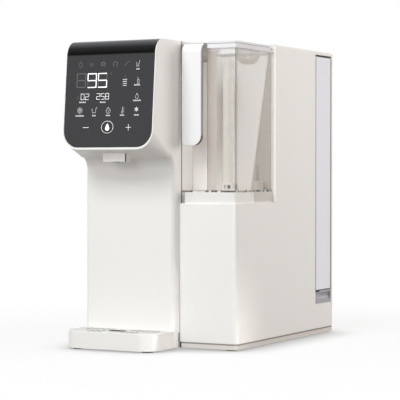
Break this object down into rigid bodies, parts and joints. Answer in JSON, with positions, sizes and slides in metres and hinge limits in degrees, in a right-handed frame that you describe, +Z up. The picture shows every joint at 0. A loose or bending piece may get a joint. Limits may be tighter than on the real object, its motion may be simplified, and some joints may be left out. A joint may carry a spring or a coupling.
{
  "type": "water dispenser",
  "caption": "Countertop hot and cold water dispenser: touch-panel tower over a drip tray, lift-off clear tank with lid and handle, and a filter behind a side door.",
  "frame": {"origin": "under the middle of the footprint, on the surface that it stands on", "axes": "+Z up, front faces -Y, +X to the right of someone facing the front"},
  "size_m": [0.224, 0.385, 0.41],
  "materials": {
    "case_white": "satin white moulded plastic",
    "base_grey": "fine-grained pale grey plastic",
    "foot_rubber": "matt soft rubber",
    "screw_steel": "zinc-plated cross-head screws",
    "panel_dark": "dark grey glossy panel, opaque where unlit",
    "board_green": "green solder mask",
    "outlet_grey": "grey silicone outlet",
    "sheet_steel": "plain sheet steel",
    "vessel_steel": "drawn stainless steel",
    "foam_white": "moulded bead foam",
    "aluminium": "plain aluminium",
    "ceramic_white": "white ceramic faces",
    "black_plastic": "fine-grained black plastic",
    "motor_grey": "dark grey painted can",
    "black_rubber": "soft black rubber",
    "white_plastic": "white moulded plastic",
    "liner_grey": "pale grey moulded liner",
    "cartridge_white": "white cartridge shell",
    "door_silver": "pale silver-lilac glossy strip",
    "grip_grey": "satin grey plastic",
    "rocker_red": "red switch rocker",
    "plug_grey": "grey silicone",
    "seat_white": "white moulded plastic",
    "hose_white": "milky silicone hose",
    "tank_clear": "clear moulded plastic",
    "handle_white": "glossy white plastic",
    "partition_clear": "frosted clear plastic",
    "pipe_clear": "frosted clear plastic",
    "pin_steel": "ground steel pins",
    "float_white": "white float",
    "lid_clear": "clear tinted plastic",
    "seal_clear": "translucent silicone",
    "strainer_clear": "translucent plastic",
    "grille_white": "satin white moulded plastic"
  },
  "bodies": {
    "case": {"base_plate": "base_grey", "rubber_feet": "foot_rubber", "tower_shell": "case_white", "cabinet_shell": "case_white", "rear_cover": "case_white", "case_screws": "screw_steel", "display_glass": "panel_dark", "display_board": "board_green", "nozzle_block": "case_white", "nozzle_tip": "outlet_grey", "mid_shelf": "sheet_steel", "cold_tank": "vessel_steel", "cold_insulation": "foam_white", "cold_block": "aluminium", "peltier_module": "ceramic_white", "heat_sink": "aluminium", "fan_frame": "black_plastic", "heater_tube": "vessel_steel", "heater_bracket": "sheet_steel", "booster_motor": "motor_grey", "booster_head": "black_plastic", "pump_bracket": "sheet_steel", "pump_mounts": "black_rubber", "dispense_pump": "black_plastic", "flush_valve": "white_plastic", "filter_bay": "liner_grey", "filter_head": "white_plastic", "power_board": "board_green", "control_board": "board_green", "power_inlet": "black_plastic", "drain_spigot": "white_plastic", "tank_seat": "seat_white", "seat_seals": "black_rubber", "raw_hose": "hose_white", "boost_hose": "hose_white", "pure_hose": "hose_white", "waste_hose": "hose_white", "feed_hoses": "hose_white", "cold_hose": "hose_white", "hot_hose": "hose_white"},
    "tank": {"tank_body": "tank_clear", "tank_handle": "handle_white", "tank_partition": "partition_clear", "return_pipe": "pipe_clear", "valve_bodies": "white_plastic", "hinge_pins": "pin_steel"},
    "lid": {"tank_lid": "lid_clear", "lid_seal": "seal_clear", "filler_strainer": "strainer_clear"},
    "raw_valve": {"raw_poppet": "plug_grey"},
    "return_valve": {"return_poppet": "plug_grey"},
    "float": {"level_float": "float_white"},
    "tray": {"drip_tray": "case_white"},
    "grille": {"drip_grille": "grille_white"},
    "door": {"filter_door": "door_silver", "door_grip": "grip_grey"},
    "cartridge": {"filter_cartridge": "cartridge_white"},
    "fan": {"fan_rotor": "black_plastic"},
    "rocker": {"power_rocker": "rocker_red"},
    "plug": {"drain_plug": "plug_grey"}
  },
  "joints": [
    {"name": "tank_lift", "type": "slide", "parent": "case", "child": "tank", "axis": [0, 0, 1], "range_m": [0, 0.08]},
    {"name": "lid_hinge", "type": "hinge", "parent": "tank", "child": "lid", "pos_m": [0.0695, -0.0083, 0.4031], "axis": [-1, 0, 0], "range_deg": [0, 90]},
    {"name": "raw_valve_lift", "type": "slide", "parent": "tank", "child": "raw_valve", "axis": [0, 0, 1], "range_m": [0, 0.003]},
    {"name": "return_valve_lift", "type": "slide", "parent": "tank", "child": "return_valve", "axis": [0, 0, 1], "range_m": [0, 0.003]},
    {"name": "float_rise", "type": "slide", "parent": "tank", "child": "float", "axis": [0, 0, 1], "range_m": [0, 0.018]},
    {"name": "tray_slide", "type": "slide", "parent": "case", "child": "tray", "axis": [0, -1, 0], "range_m": [0, 0.11]},
    {"name": "grille_lift", "type": "slide", "parent": "tray", "child": "grille", "axis": [0, 0, 1], "range_m": [0, 0.05]},
    {"name": "door_hinge", "type": "hinge", "parent": "case", "child": "door", "pos_m": [0.107, 0.15975, 0.3975], "axis": [0, -1, 0], "range_deg": [0, 80]},
    {"name": "cartridge_twist", "type": "hinge", "parent": "case", "child": "cartridge", "pos_m": [0.0815, 0.15975, 0.2], "axis": [0, 0, 1], "range_deg": [0, 90]},
    {"name": "fan_spin", "type": "hinge", "parent": "case", "child": "fan", "pos_m": [-0.04325, 0.17, 0.293], "axis": [0, 1, 0], "continuous": true},
    {"name": "rocker_tip", "type": "hinge", "parent": "case", "child": "rocker", "pos_m": [-0.0887, 0.1852, 0.0355], "axis": [1, 0, 0], "range_deg": [-8, 8]},
    {"name": "plug_pull", "type": "slide", "parent": "case", "child": "plug", "axis": [0, 1, 0], "range_m": [0, 0.03]}
  ]
}
